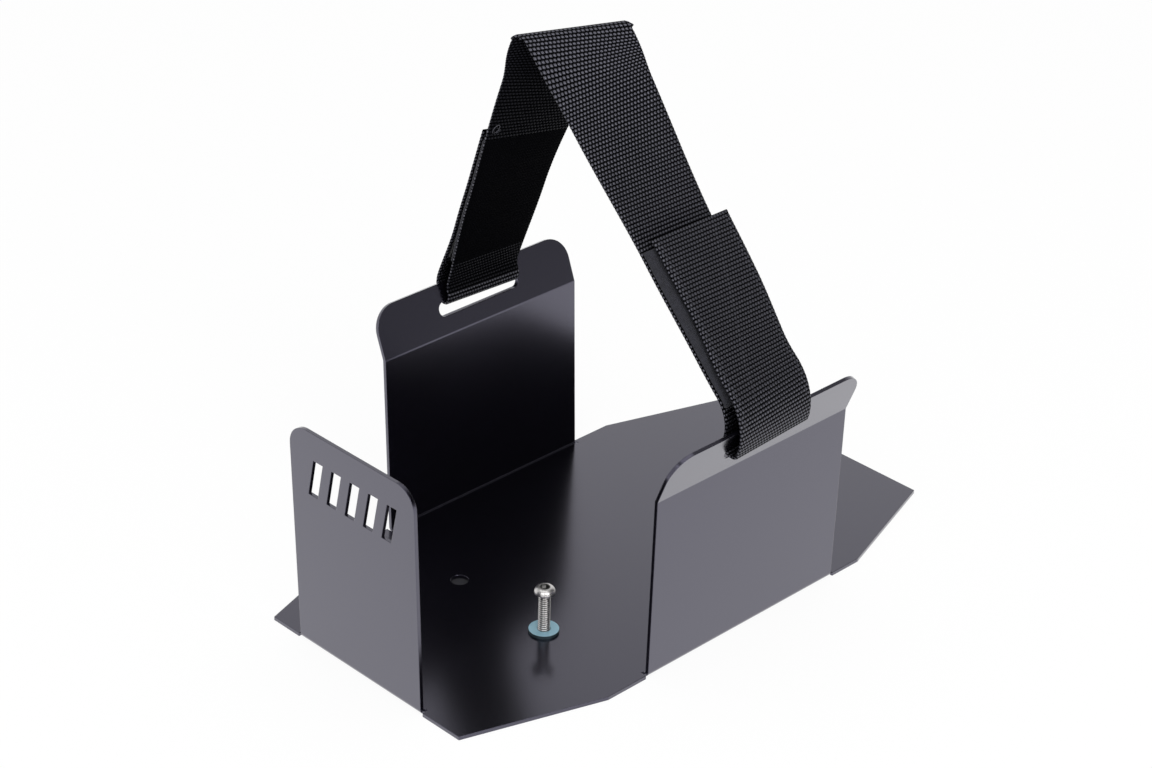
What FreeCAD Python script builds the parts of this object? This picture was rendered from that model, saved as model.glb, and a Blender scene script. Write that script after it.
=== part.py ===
import FreeCAD, Part
import Sketcher
import math
import os

# Cooler rack: a folded sheet tray with three flaps, a webbing strap that passes through a slot in
# each side flap and closes on itself with hook and loop tape, and one mounting screw with its washer.
# Millimetres. +X runs along the tray, +Y towards the far flap, +Z up, and the origin is at the
# centre of the base plate's underside.

os.makedirs("parts", exist_ok=True)
doc = FreeCAD.newDocument("CoolerRack")
sheet = doc.addObject("Spreadsheet::Sheet", "Sizes")

sizes = {
    # Folded sheet
    "sheet_thickness": 2.0,
    "bend_inner_radius": 1.0,
    "base_length": 342.0,
    "base_end_width": 140.0,
    "base_side_width": 190.0,
    "side_margin": 25.0,
    # Side flaps, with the outward flange along their tops
    "flap_width": 138.0,
    "flap_height": 103.0,
    "near_flap_shift": 3.0,
    "far_flap_shift": -2.0,
    "near_slot_shift": 3.0,
    "far_slot_shift": -0.4,
    "near_flap_lean": 0.6,
    "far_flap_lean": 2.3,
    "flange_length": 27.5,
    "flange_angle": 21.0,
    "flange_corner_radius": 14.0,
    "slot_length": 57.0,
    "slot_height": 8.0,
    # End flap
    "end_flap_width": 91.0,
    "end_flap_height": 129.0,
    "end_flap_shift": 3.2,
    "end_flap_lean": 2.0,
    "end_corner_radius": 12.5,
    "window_width": 7.0,
    "window_height": 21.0,
    "window_pitch": 13.5,
    "window_slant": 5.0,
    "window_level": 92.5,
    # Slits that let the sheet fold beside each flap
    "relief_width": 1.5,
    "relief_extra": 0.5,
    # Mounting holes, screw and washer
    "hole_diameter": 9.5,
    "hole_spacing": 63.5,
    "hole_from_end": 93.5,
    "screw_diameter": 6.35,
    "screw_length": 25.4,
    "screw_tip_chamfer": 0.7,
    "head_diameter": 11.1,
    "head_height": 3.35,
    "head_top_diameter": 5.4,
    "socket_width": 3.97,
    "socket_depth": 2.0,
    "washer_diameter": 15.9,
    "washer_bore": 7.1,
    "washer_thickness": 1.6,
    # Strap webbing: its route from the near slot over a fold to the far slot
    "web_width": 50.8,
    "web_thickness": 1.5,
    "near_bend_radius": 21.6,
    "far_bend_radius": 10.4,
    "web_fold_radius": 5.0,
    "near_leg_lean": 42.85,
    "far_leg_lean": 16.7,
    "far_leg_bow": 7.0,
    # Strap webbing: sideways shift, slant, twist and the slanting fold
    "near_strap_shift": 3.6,
    "far_strap_shift": 2.2,
    "top_strap_shift": 2.6,
    "top_shift_run": 60.0,
    "near_leg_slant": 5.2,
    "far_leg_slant": -2.1,
    "slant_run": 55.0,
    "near_level_run": 46.6,
    "near_tab_run": 96.0,
    "near_tab_twist": -3.0,
    "near_top_twist": -26.0,
    "far_top_twist": 23.3,
    "far_low_twist": 6.0,
    "far_low_run": 60.0,
    "fold_yaw": -42.0,
    "fold_pitch": 8.5,
    "fold_blend_run": 38.5,
    "fold_straight_run": 6.0,
    "fold_stretch_limit": 1.14,
    # Open turns of the strap round the upper edges of the slots
    "near_turn_half_width": 5.3,
    "far_turn_half_width": 4.2,
    "turn_strip": 1.0,
    "near_turn_rise": -1.0,
    "far_turn_rise": 2.2,
    "near_turn_low": 4.25,
    "far_turn_low": 2.75,
    # Folded-back tabs and their tapes
    "near_tab_length": 107.0,
    "far_tab_length": 103.0,
    "near_tab_slip": 6.1,
    "far_tab_slip": 1.2,
    "tab_slip_run": 73.0,
    "tab_settle_run": 40.0,
    "loop_width": 49.5,
    "loop_thickness": 2.0,
    "hook_width": 48.0,
    "hook_thickness": 1.5,
    "sewn_gap": 0.1,
    "tape_start": 20.0,
    "tape_inset": 3.0,
}
for row, (alias, value) in enumerate(sizes.items(), 1):
    sheet.set("A%d" % row, alias)
    sheet.set("B%d" % row, str(value))
    sheet.setAlias("B%d" % row, alias)
doc.recompute()

EDGE_TOLERANCE = 0.05
WINDOW_COUNT = 5
STRIP_STEPS = 2
BEND_STEPS = 8
LEG_STEPS = 30
TURN_STEPS = 14


def size(alias):
    return float(sheet.get(alias))


def bind(target, prop, formula):
    target.setExpression(prop, formula)


def newBody(name):
    body = doc.addObject("PartDesign::Body", name)
    body.Label = name
    return body


def originPlane(body, role):
    return next(item for item in body.Origin.OriginFeatures if item.Role == role)


def newSketch(body, name, role, offset=None):
    sketch = body.newObject("Sketcher::SketchObject", name)
    sketch.AttachmentSupport = [(originPlane(body, role), "")]
    sketch.MapMode = "FlatFace"
    if offset:
        bind(sketch, "AttachmentOffset.Base.z", offset)
    return sketch


def pin(sketch, geo, pos, across, along, tag):
    """Hold one point of a sketch at two formulas, measured from the sketch's origin."""
    point = sketch.getPoint(geo, pos)
    for kind, formula, value, letter in (("DistanceX", across, point.x, "x"),
                                         ("DistanceY", along, point.y, "y")):
        index = sketch.addConstraint(Sketcher.Constraint(kind, -1, 1, geo, pos, value))
        sketch.renameConstraint(index, tag + letter)
        bind(sketch, "Constraints." + tag + letter, formula)


def polygonSketch(body, name, role, corners, offset=None):
    """A closed outline whose corners are each held at a pair of formulas."""
    sketch = newSketch(body, name, role, offset)
    addPolygon(sketch, corners, "p")
    return sketch


def addPolygon(sketch, corners, tag):
    count = len(corners)
    first = sketch.GeometryCount
    turns = [2 * math.pi * i / count for i in range(count)]
    ring = [FreeCAD.Vector(20 * math.cos(turn), 20 * math.sin(turn), 0) for turn in turns]
    for i in range(count):
        sketch.addGeometry(Part.LineSegment(ring[i], ring[(i + 1) % count]), False)
    for i in range(count):
        following = first + (i + 1) % count
        sketch.addConstraint(Sketcher.Constraint("Coincident", first + i, 2, following, 1))
    for i, (across, along) in enumerate(corners):
        pin(sketch, first + i, 1, across, along, "%s%d" % (tag, i))


def addCircle(sketch, across, along, diameter, tag):
    geo = sketch.addGeometry(Part.Circle(FreeCAD.Vector(10, 10, 0), FreeCAD.Vector(0, 0, 1), 3), False)
    pin(sketch, geo, 3, across, along, tag)
    index = sketch.addConstraint(Sketcher.Constraint("Diameter", geo, 6))
    sketch.renameConstraint(index, tag + "d")
    bind(sketch, "Constraints." + tag + "d", diameter)


def addObround(sketch, centre, level, length, height, tag):
    """A slot with round ends, lying along the sketch's first axis."""
    up = FreeCAD.Vector(0, 0, 1)
    corners = [FreeCAD.Vector(x, y, 0) for x, y in ((-20, 96), (20, 96), (20, 104), (-20, 104))]
    leftRound = Part.Circle(FreeCAD.Vector(-20, 100, 0), up, 4)
    rightRound = Part.Circle(FreeCAD.Vector(20, 100, 0), up, 4)
    left = sketch.addGeometry(Part.ArcOfCircle(leftRound, math.pi / 2, 3 * math.pi / 2), False)
    floor = sketch.addGeometry(Part.LineSegment(corners[0], corners[1]), False)
    right = sketch.addGeometry(Part.ArcOfCircle(rightRound, -math.pi / 2, math.pi / 2), False)
    roof = sketch.addGeometry(Part.LineSegment(corners[2], corners[3]), False)
    for one, end, other in ((left, 2, floor), (floor, 2, right), (right, 2, roof), (roof, 2, left)):
        sketch.addConstraint(Sketcher.Constraint("Tangent", one, end, other, 1))
    index = sketch.addConstraint(Sketcher.Constraint("Radius", left, 4))
    sketch.renameConstraint(index, tag + "r")
    bind(sketch, "Constraints." + tag + "r", "(%s) / 2" % height)
    pin(sketch, left, 3, "%s - (%s - (%s)) / 2" % (centre, length, height), level, tag + "a")
    index = sketch.addConstraint(Sketcher.Constraint("DistanceX", left, 3, right, 3, 40))
    sketch.renameConstraint(index, tag + "w")
    bind(sketch, "Constraints." + tag + "w", "%s - (%s)" % (length, height))
    sketch.addConstraint(Sketcher.Constraint("Horizontal", floor))
    sketch.addConstraint(Sketcher.Constraint("Equal", left, right))


def pad(body, name, sketch, length, middle=False, reverse=False):
    feature = body.newObject("PartDesign::Pad", name)
    feature.Profile = sketch
    feature.Midplane = middle
    feature.Reversed = reverse
    bind(feature, "Length", length)
    doc.recompute()
    return feature


def cutThrough(body, name, sketch, reverse=False, depth=None):
    """A pocket, right through or to a depth, that must take material away."""
    before = body.Shape.Volume
    feature = body.newObject("PartDesign::Pocket", name)
    feature.Profile = sketch
    feature.Reversed = reverse
    if depth:
        bind(feature, "Length", depth)
    else:
        feature.Type = 1
    doc.recompute()
    if body.Shape.Volume >= before - 0.1:
        raise RuntimeError(name + " cuts nothing")
    return feature


def edgesWhere(shape, test):
    return ["Edge%d" % i for i, edge in enumerate(shape.Edges, 1) if test(edge)]


def roundEdges(body, name, test, radius, count):
    base = body.Tip
    found = edgesWhere(base.Shape, test)
    if len(found) != count:
        raise RuntimeError("%s found %d edges instead of %d" % (name, len(found), count))
    feature = body.newObject("PartDesign::Fillet", name)
    feature.Base = (base, found)
    bind(feature, "Radius", radius)
    doc.recompute()
    return feature


def near(value, target):
    return abs(value - target) < EDGE_TOLERANCE


def alongAxis(edge, axis, points):
    """True for a straight edge along an axis that passes through one of some (a, b) points."""
    ends = [vertex.Point for vertex in edge.Vertexes]
    if len(ends) != 2:
        return False
    run = ends[1] - ends[0]
    if abs(run[axis]) < run.Length - EDGE_TOLERANCE or run.Length < 1:
        return False
    others = [i for i in range(3) if i != axis]
    return any(near(ends[0][others[0]], a) and near(ends[0][others[1]], b) for a, b in points)


# Tray: one folded sheet

def flapSection(side, lean):
    """Formulas for a side flap's section in the YZ plane, from the foot's outer edge upwards.
    The outer face starts flush with the base plate's edge. side is -1 for near and 1 for far."""
    wall = "Sizes.sheet_thickness"
    tilt = "Sizes.%s * 1deg" % lean
    turn = "Sizes.flange_angle * 1deg"
    middle = "(Sizes.flange_angle + Sizes.%s) * 0.5deg" % lean
    half = "(Sizes.flange_angle - Sizes.%s) * 0.5deg" % lean
    foot = "Sizes.base_side_width / 2"
    bend = "%s + Sizes.flap_height * tan(%s)" % (foot, tilt)
    tip = "%s + Sizes.flange_length * sin(%s)" % (bend, turn)
    level = "Sizes.flap_height"
    tipLevel = "%s + Sizes.flange_length * cos(%s)" % (level, turn)
    points = [
        (foot, "0"),
        (bend, level),
        (tip, tipLevel),
        ("%s - %s * cos(%s)" % (tip, wall, turn), "%s + %s * sin(%s)" % (tipLevel, wall, turn)),
        ("%s - %s * cos(%s) / cos(%s)" % (bend, wall, middle, half),
         "%s + %s * sin(%s) / cos(%s)" % (level, wall, middle, half)),
        ("%s - %s / cos(%s)" % (foot, wall, tilt), "0"),
    ]
    return [("%d * (%s)" % (side, across), along) for across, along in points]


def buildTray():
    body = newBody("cooler_tray")
    wall = "Sizes.sheet_thickness"
    end = "Sizes.base_length / 2"
    shoulder = "(Sizes.flap_width / 2 + Sizes.side_margin)"
    wide = "Sizes.base_side_width / 2"
    narrow = "Sizes.base_end_width / 2"
    quarter = [(end, narrow), (shoulder, wide)]
    half = quarter + [("-(%s)" % along, across) for along, across in reversed(quarter)]
    octagon = half + [(along, "-(%s)" % across) for along, across in reversed(half)]
    pad(body, "BasePlate", polygonSketch(body, "BaseOutline", "XY_Plane", octagon), wall)

    for side, name in ((-1, "near"), (1, "far")):
        lean = name + "_flap_lean"
        shift = "Sizes.%s_flap_shift" % name
        section = polygonSketch(body, name.title() + "Section", "YZ_Plane", flapSection(side, lean), shift)
        pad(body, name.title() + "Flap", section, "Sizes.flap_width", middle=True)

    tilt = "tan(Sizes.end_flap_lean * 1deg)"
    rise = "Sizes.end_flap_height * cos(Sizes.end_flap_lean * 1deg)"
    foot = "Sizes.sheet_thickness / cos(Sizes.end_flap_lean * 1deg)"
    endSection = [("-(%s)" % end, "0"), ("-(%s) + %s" % (end, foot), "0"),
                  ("-(%s) + %s - %s * %s" % (end, foot, rise, tilt), rise),
                  ("-(%s) - %s * %s" % (end, rise, tilt), rise)]
    section = polygonSketch(body, "EndSection", "XZ_Plane", endSection, "-1 * Sizes.end_flap_shift")
    pad(body, "EndFlap", section, "Sizes.end_flap_width", middle=True)
    cutReliefs(body, end, wide)
    foldEdges(body)
    roundCorners(body)
    cutSlots(body)
    cutWindows(body)
    cutHoles(body, end)
    return body


def cutReliefs(body, end, wide):
    """Slits in the base plate beside both edges of each flap."""
    sketch = newSketch(body, "ReliefOutlines", "XY_Plane")
    depth = "(Sizes.bend_inner_radius + Sizes.sheet_thickness + Sizes.relief_extra)"
    slit = "Sizes.relief_width"
    for side, name in ((-1, "near"), (1, "far")):
        for hand in (-1, 1):
            flapEdge = "Sizes.%s_flap_shift + %d * Sizes.flap_width / 2" % (name, hand)
            beyond = "%s + %d * %s" % (flapEdge, hand, slit)
            outside = "%d * (%s + %s)" % (side, wide, slit)
            inside = "%d * (%s - %s)" % (side, wide, depth)
            corners = [(flapEdge, inside), (beyond, inside), (beyond, outside), (flapEdge, outside)]
            addPolygon(sketch, corners, "%s%s" % (name, "b" if hand > 0 else "a"))
    for hand in (-1, 1):
        flapEdge = "Sizes.end_flap_shift + %d * Sizes.end_flap_width / 2" % hand
        beyond = "%s + %d * %s" % (flapEdge, hand, slit)
        outside = "-(%s + %s)" % (end, slit)
        inside = "-(%s - %s)" % (end, depth)
        corners = [(inside, flapEdge), (inside, beyond), (outside, beyond), (outside, flapEdge)]
        addPolygon(sketch, corners, "end%s" % ("b" if hand > 0 else "a"))
    cutThrough(body, "Reliefs", sketch, reverse=True)


def foldEdges(body):
    """Round the inside and the outside of each fold by the bend radius."""
    wall = size("sheet_thickness")
    wide = size("base_side_width") / 2
    turn = math.radians(size("flange_angle"))
    height = size("flap_height")
    outer, inner = [], []
    for side, name in ((-1, "near"), (1, "far")):
        lean = math.radians(size(name + "_flap_lean"))
        outer.append((side * wide, 0))
        inner.append((side * (wide - wall / math.cos(lean) + wall * math.tan(lean)), wall))
        bend = wide + height * math.tan(lean)
        middle, half = (turn + lean) / 2, (turn - lean) / 2
        inner.append((side * bend, height))
        outer.append((side * (bend - wall * math.cos(middle) / math.cos(half)),
                      height + wall * math.sin(middle) / math.cos(half)))
    lean = math.radians(size("end_flap_lean"))
    end = size("base_length") / 2
    endOuter = [(-end, 0)]
    endInner = [(-end + wall / math.cos(lean) - wall * math.tan(lean), wall)]
    flap = size("flap_width") - EDGE_TOLERANCE
    endFlap = size("end_flap_width") - EDGE_TOLERANCE

    def isOuter(edge):
        return (alongAxis(edge, 0, outer) and near(edge.Length, size("flap_width"))
                or alongAxis(edge, 1, endOuter) and near(edge.Length, size("end_flap_width")))

    def isInner(edge):
        return (alongAxis(edge, 0, inner) and edge.Length > flap
                or alongAxis(edge, 1, endInner) and edge.Length > endFlap)

    roundEdges(body, "FoldInsides", isInner, "Sizes.bend_inner_radius", 5)
    roundEdges(body, "FoldOutsides", isOuter, "Sizes.bend_inner_radius + Sizes.sheet_thickness", 5)


def roundCorners(body):
    """Round the free top corners of the side flanges and of the end flap."""
    turn = math.radians(size("flange_angle"))
    flangeTop = size("flap_height") + size("flange_length") * math.cos(turn)
    endTop = size("end_flap_height") * math.cos(math.radians(size("end_flap_lean")))
    beside, beyond = size("base_side_width") / 2, size("base_length") / 2 - size("sheet_thickness")

    def isCorner(edge, level, axis, reach):
        """A short edge across the sheet's thickness, at a level and on one flap's side of the tray."""
        ends = [vertex.Point for vertex in edge.Vertexes]
        return (len(ends) == 2 and near(edge.Length, size("sheet_thickness"))
                and near(max(p.z for p in ends), level) and min(abs(p[axis]) for p in ends) > reach)

    slope = size("sheet_thickness") * math.sin(turn)
    roundEdges(body, "FlangeCorners", lambda edge: isCorner(edge, flangeTop + slope, 1, beside),
               "Sizes.flange_corner_radius", 4)
    roundEdges(body, "EndFlapCorners", lambda edge: isCorner(edge, endTop, 0, beyond),
               "Sizes.end_corner_radius", 2)


def cutSlots(body):
    """A slot with round ends through the middle of each side flange."""
    turn = "Sizes.flange_angle * 1deg"
    level = ("Sizes.flap_height + Sizes.flange_length * cos(%s) / 2"
             " + Sizes.sheet_thickness * sin(%s) / 2" % (turn, turn))
    height = "Sizes.slot_height * cos(%s)" % turn
    for name, reverse in (("near", True), ("far", False)):
        sketch = newSketch(body, name.title() + "SlotOutline", "XZ_Plane")
        addObround(sketch, "Sizes.%s_slot_shift" % name, level, "Sizes.slot_length", height, "s")
        cutThrough(body, name.title() + "Slot", sketch, reverse)


def cutWindows(body):
    """A row of slanted windows across the top of the end flap."""
    sketch = newSketch(body, "WindowOutlines", "YZ_Plane")
    low = "Sizes.window_level"
    high = "Sizes.window_level + Sizes.window_height"
    half = "Sizes.window_width / 2"
    for i in range(WINDOW_COUNT):
        middle = "Sizes.end_flap_shift + %.1f * Sizes.window_pitch" % (i - (WINDOW_COUNT - 1) / 2)
        lean = "Sizes.window_slant / 2"
        corners = [("%s - %s + %s" % (middle, half, lean), low),
                   ("%s + %s + %s" % (middle, half, lean), low),
                   ("%s + %s - %s" % (middle, half, lean), high),
                   ("%s - %s - %s" % (middle, half, lean), high)]
        addPolygon(sketch, corners, "w%d" % i)
    cutThrough(body, "Windows", sketch)


def cutHoles(body, end):
    """Two mounting holes, one of them under the screw and its washer."""
    sketch = newSketch(body, "HoleOutlines", "XY_Plane")
    for hand, tag in ((-1, "near"), (1, "far")):
        addCircle(sketch, "Sizes.hole_from_end - %s" % end, "%d * Sizes.hole_spacing / 2" % hand,
                  "Sizes.hole_diameter", tag)
    cutThrough(body, "MountingHoles", sketch, reverse=True)


# Screw and washer

def placeAtNearHole(body, level):
    bind(body, "Placement.Base.x", "Sizes.hole_from_end - Sizes.base_length / 2")
    bind(body, "Placement.Base.y", "-1 * Sizes.hole_spacing / 2")
    bind(body, "Placement.Base.z", level)


def buildScrew():
    """Button head screw with a hexagon socket, standing in the near hole on its tip."""
    body = newBody("mounting_screw")
    top = size("screw_length") + size("head_height")
    shank = newSketch(body, "ShankOutline", "XY_Plane")
    addCircle(shank, "0", "0", "Sizes.screw_diameter", "shank")
    pad(body, "Shank", shank, "Sizes.screw_length")
    tip = (body.Tip, edgesWhere(body.Shape, lambda edge: roundAt(edge, "screw_diameter", 0)))
    chamfer = body.newObject("PartDesign::Chamfer", "TipChamfer")
    chamfer.Base = tip
    bind(chamfer, "Size", "Sizes.screw_tip_chamfer")
    doc.recompute()
    head = newSketch(body, "HeadOutline", "XY_Plane", "Sizes.screw_length")
    addCircle(head, "0", "0", "Sizes.head_diameter", "head")
    pad(body, "Head", head, "Sizes.head_height")
    roundEdges(body, "Dome", lambda edge: roundAt(edge, "head_diameter", top),
               "(Sizes.head_diameter - Sizes.head_top_diameter) / 2", 1)
    socket = newSketch(body, "SocketOutline", "XY_Plane", "Sizes.screw_length + Sizes.head_height")
    corner = "Sizes.socket_width / sqrt(3)"
    turns = [60 * i for i in range(6)]
    hexagon = [("%s * cos(%ddeg)" % (corner, turn), "%s * sin(%ddeg)" % (corner, turn)) for turn in turns]
    addPolygon(socket, hexagon, "h")
    cutThrough(body, "Socket", socket, depth="Sizes.socket_depth")
    placeAtNearHole(body, "0")
    return body


def roundAt(edge, alias, level):
    """True for a full circle of a sheet size's diameter at a level."""
    return (len(edge.Vertexes) == 1 and near(edge.Length, math.pi * size(alias))
            and near(edge.Vertexes[0].Point.z, level))


def buildWasher():
    """Flat washer round the screw, lying on the tray."""
    body = newBody("flat_washer")
    sketch = newSketch(body, "WasherOutline", "XY_Plane")
    addCircle(sketch, "0", "0", "Sizes.washer_diameter", "rim")
    addCircle(sketch, "0", "0", "Sizes.washer_bore", "bore")
    pad(body, "Disc", sketch, "Sizes.washer_thickness")
    placeAtNearHole(body, "Sizes.sheet_thickness")
    return body


# Strap: the webbing's route, then its solids

def smooth(value):
    """An eased step from 0 to 1."""
    value = min(max(value, 0.0), 1.0)
    return value * value * (3 - 2 * value)


def endName(side):
    return "near" if side < 0 else "far"


def slotRoof(side):
    """(y, z) of the slot's upper edge on the middle of the sheet."""
    name = endName(side)
    turn = math.radians(size("flange_angle"))
    along = (size("flange_length") + size("slot_height")) / 2
    half = size("sheet_thickness") / 2
    lean = math.radians(size(name + "_flap_lean"))
    bend = size("base_side_width") / 2 + size("flap_height") * math.tan(lean)
    out = bend + along * math.sin(turn) - half * math.cos(turn)
    return side * out, size("flap_height") + along * math.cos(turn) + half * math.sin(turn)


def walk(start, angle, pieces):
    """Stations (y, z, angle, run) along straight and curved pieces. The angle is from +Z towards +Y,
    and a piece is (length, turn, steps)."""
    y, z = start
    run = 0.0
    stations = [(y, z, angle, run)]
    for length, turn, steps in pieces:
        step, bit = length / steps, turn / steps
        chord = step if abs(bit) < 1e-9 else 2 * step / bit * math.sin(bit / 2)
        for _ in range(steps):
            y += chord * math.sin(angle + bit / 2)
            z += chord * math.cos(angle + bit / 2)
            angle += bit
            run += step
            stations.append((y, z, angle, run))
    return stations


def strapRoute():
    """Stations of the webbing's main length, from the near slot over the top fold to the far slot, and
    the run at the top."""
    turn = math.radians(size("flange_angle"))
    nearLean, farLean = math.radians(size("near_leg_lean")), math.radians(size("far_leg_lean"))
    nearRadius, farRadius = size("near_bend_radius"), size("far_bend_radius")
    bow = math.radians(size("far_leg_bow"))
    fold = size("web_fold_radius")
    strip = (size("turn_strip"), 0, STRIP_STEPS)
    starts = {}
    for side, lean, radius in ((-1, nearLean, nearRadius), (1, farLean, farRadius)):
        y, z = slotRoof(side)
        stand, rise = size(endName(side) + "_turn_half_width"), size(endName(side) + "_turn_rise")
        start = (y - side * (stand * math.cos(turn) - rise * math.sin(turn)),
                 z + stand * math.sin(turn) + rise * math.cos(turn))
        bend = (radius * (lean + turn), -side * (lean + turn), BEND_STEPS)
        starts[side] = walk(start, side * turn, [strip, bend])
    ny, nz = starts[-1][-1][:2]
    fy, fz = starts[1][-1][:2]
    # The near leg and the fold's second side meet the far leg's chord
    after = math.pi - farLean - bow
    chordAngle = math.pi - farLean - bow / 2
    foldTurn = after - nearLean
    trim = fold * math.tan(foldTurn / 2)
    gapY = fy - ny - trim * math.sin(after)
    gapZ = fz - nz - trim * math.cos(after)
    cross = math.sin(nearLean) * math.cos(chordAngle) - math.cos(nearLean) * math.sin(chordAngle)
    toApex = (gapY * math.cos(chordAngle) - gapZ * math.sin(chordAngle)) / cross
    chord = (math.sin(nearLean) * gapZ - math.cos(nearLean) * gapY) / cross
    arcRadius = chord / (2 * math.sin(bow / 2))
    nearBend = (nearRadius * (nearLean + turn), nearLean + turn, BEND_STEPS)
    farBend = (farRadius * (farLean + turn), farLean + turn, BEND_STEPS)
    pieces = [strip, nearBend, (toApex - trim, 0, LEG_STEPS), (fold * foldTurn, foldTurn, BEND_STEPS),
              (arcRadius * bow, bow, LEG_STEPS), farBend, strip]
    stations = walk(starts[-1][0][:2], -turn, pieces)
    return stations, sum(piece[0] for piece in pieces[:3]) + pieces[3][0] / 2


def drift(run, degrees):
    """Sideways distance gained from a slot by a leg that sets out at a slant and then straightens."""
    reach = size("slant_run")
    u = min(max(run / reach, 0.0), 1.0)
    return math.tan(math.radians(degrees)) * reach * (u - u ** 3 + u ** 4 / 2)


def sideways(run, whole, top):
    """The main length's X at a run: both slots' shifts, both slants and the bulge at the top."""
    reach = size("slant_run")
    start = size("near_strap_shift") - drift(run, size("near_leg_slant"))
    finish = size("far_strap_shift") - drift(whole - run, size("far_leg_slant"))
    share = smooth((run - reach) / (whole - 2 * reach))
    bulge = size("top_strap_shift") * math.exp(-((run - top) / size("top_shift_run")) ** 2)
    return start + (finish - start) * share + bulge


def twistAt(run, whole, top):
    """The main length's twist about its own direction, in degrees, eased between a few places."""
    knots = [(0, 0), (size("near_level_run"), 0), (size("near_tab_run"), size("near_tab_twist")),
             (top, size("near_top_twist")), (top + size("fold_straight_run"), size("far_top_twist")),
             (whole - size("far_low_run"), size("far_low_twist")), (whole, 0)]
    twist = 0.0
    for (low, before), (high, after) in zip(knots, knots[1:]):
        twist += (after - before) * smooth((run - low) / (high - low))
    return twist


def unit(vector):
    return vector * (1 / vector.Length)


def strapFrames():
    """Centre, width direction and outward direction of the main length at each station. The width
    direction is longer than one where the band is cut on a slant, as it is at the top fold."""
    stations, top = strapRoute()
    whole = stations[-1][3]
    yaw, pitch = math.radians(size("fold_yaw")), math.radians(size("fold_pitch"))
    flat = FreeCAD.Vector(math.cos(yaw), math.sin(yaw), 0)
    foldLine = flat * math.cos(pitch) + FreeCAD.Vector(0, 0, math.sin(pitch))
    across = FreeCAD.Vector(1, 0, 0)
    blend, straight = size("fold_blend_run"), size("fold_straight_run")
    frames = []
    for y, z, angle, run in stations:
        before, after = max(run - EDGE_TOLERANCE, 0), min(run + EDGE_TOLERANCE, whole)
        slope = (sideways(after, whole, top) - sideways(before, whole, top)) / (after - before)
        along = unit(FreeCAD.Vector(slope, math.sin(angle), math.cos(angle)))
        twist = math.radians(twistAt(run, whole, top))
        above = FreeCAD.Vector(0, -math.cos(angle), math.sin(angle))
        level = across * math.cos(twist) - above * math.sin(twist)
        square = unit(level - along * level.dot(along))
        share = smooth((blend - abs(run - top)) / (blend - straight))
        width = unit(square * (1 - share) + foldLine * share)
        outward = unit(width.cross(along))
        stretch = min(1 / math.sqrt(1 - width.dot(along) ** 2), size("fold_stretch_limit"))
        frames.append((FreeCAD.Vector(sideways(run, whole, top), y, z), width * stretch, outward, run))
    return frames


def tabSpacing(run, name):
    """How far the folded-back tab's middle lies outside the main length's middle."""
    stack = size("web_thickness") + size("loop_thickness") + size("hook_thickness") + 3 * size("sewn_gap")
    slot = 2 * size(name + "_turn_half_width")
    return slot + (stack - slot) * smooth(run / size("tab_settle_run"))


def section(centre, width, outward, breadth, low, high):
    """A rectangle across a band, from low to high along the outward direction."""
    corners = [(-1, low), (1, low), (1, high), (-1, high)]
    points = [centre + width * (side * breadth / 2) + outward * level for side, level in corners]
    return Part.makePolygon(points + points[:1])


def bandSolid(sections):
    solid = Part.makeLoft(sections, True, True)
    if solid.Volume < 0:
        solid.reverse()
    return solid


def legFrames(frames, far):
    """One leg's frames counted from its slot, with their runs from there."""
    if not far:
        return frames
    whole = frames[-1][3]
    return [(centre, width, outward, whole - run) for centre, width, outward, run in reversed(frames)]


def cutAt(leg, low, high):
    """The leg's frames between two runs, with frames worked out at the two ends."""
    inside = [frame for frame in leg if low + EDGE_TOLERANCE < frame[3] < high - EDGE_TOLERANCE]
    return [frameAt(leg, low)] + inside + [frameAt(leg, high)]


def frameAt(leg, run):
    for one, two in zip(leg, leg[1:]):
        if one[3] <= run <= two[3]:
            part = (run - one[3]) / (two[3] - one[3])
            return tuple(one[i] + (two[i] - one[i]) * part for i in range(3)) + (run,)
    return leg[-1][:3] + (run,)


def slotTurn(frames, side):
    """Sections of the open half turn under the slot's upper edge, from the main length to the tab. The
    middle of the band follows half an ellipse."""
    centre, width, outward, run = legFrames(frames, side > 0)[0]
    down = unit(outward.cross(width)) * side
    name = endName(side)
    across = size(name + "_turn_half_width")
    depth = size(name + "_turn_rise") + size(name + "_turn_low")
    half = size("web_thickness") / 2
    middle = centre + outward * across
    result = []
    for i in range(1, TURN_STEPS):
        angle = math.pi * i / TURN_STEPS
        place = middle - outward * (across * math.cos(angle)) + down * (depth * math.sin(angle))
        inside = unit(outward * (depth * math.cos(angle)) - down * (across * math.sin(angle)))
        result.append(section(place, width, inside, size("web_width"), -half, half))
    return result


def tabCentre(centre, width, run, name):
    """A point moved sideways by the tab's slip at a run."""
    return centre + width * (size(name + "_tab_slip") * smooth(run / size("tab_slip_run")))


def tabSections(frames, name):
    """The tab's sections from the slot up to its free end, turned over so that they follow on from
    the half turn."""
    half = size("web_thickness") / 2
    leg = cutAt(legFrames(frames, name == "far"), 0, size(name + "_tab_length"))
    result = []
    for centre, width, outward, run in leg:
        middle = tabCentre(centre, width, run, name) + outward * tabSpacing(run, name)
        result.append(section(middle, width, outward * -1, size("web_width"), -half, half))
    return result


def buildWebbing(frames):
    half = size("web_thickness") / 2
    main = [section(centre, width, outward, size("web_width"), -half, half)
            for centre, width, outward, run in frames]
    nearEnd = list(reversed(tabSections(frames, "near"))) + list(reversed(slotTurn(frames, -1)))
    farEnd = slotTurn(frames, 1) + tabSections(frames, "far")
    return bandSolid(nearEnd + main + farEnd)


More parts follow.
